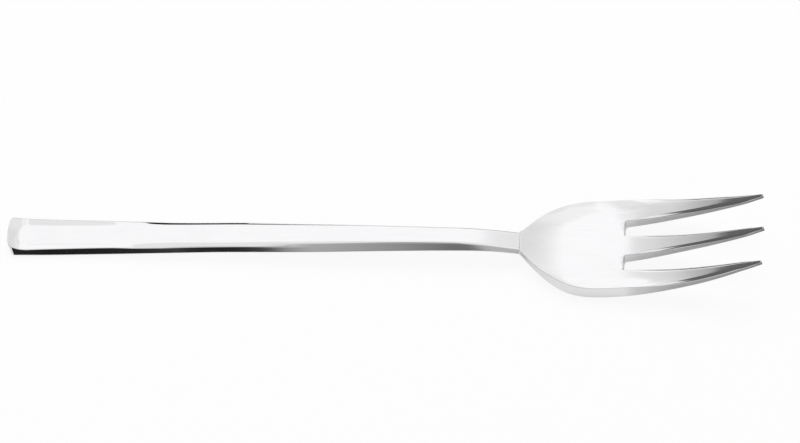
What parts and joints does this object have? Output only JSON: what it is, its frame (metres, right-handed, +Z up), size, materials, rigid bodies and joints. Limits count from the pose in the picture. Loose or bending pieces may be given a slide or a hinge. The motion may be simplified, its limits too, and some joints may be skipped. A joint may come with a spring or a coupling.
{
  "type": "cake fork",
  "caption": "Cake fork with a dished bar handle welded to a wide, shallow, three-tined head, in polished stainless steel.",
  "frame": {"origin": "middle of the fork's outline seen from above, at the height of the surface it lies on", "axes": "+X from the handle towards the tines, +Z up out of the bowl, +Y across the tines"},
  "size_m": [0.1503, 0.0234, 0.0097],
  "materials": {
    "handle_steel": "mirror-polished stainless steel",
    "head_steel": "mirror-polished stainless steel, slightly softer in the bowl"
  },
  "bodies": {
    "root": {"handle": "handle_steel", "head": "head_steel"}
  },
  "joints": []
}
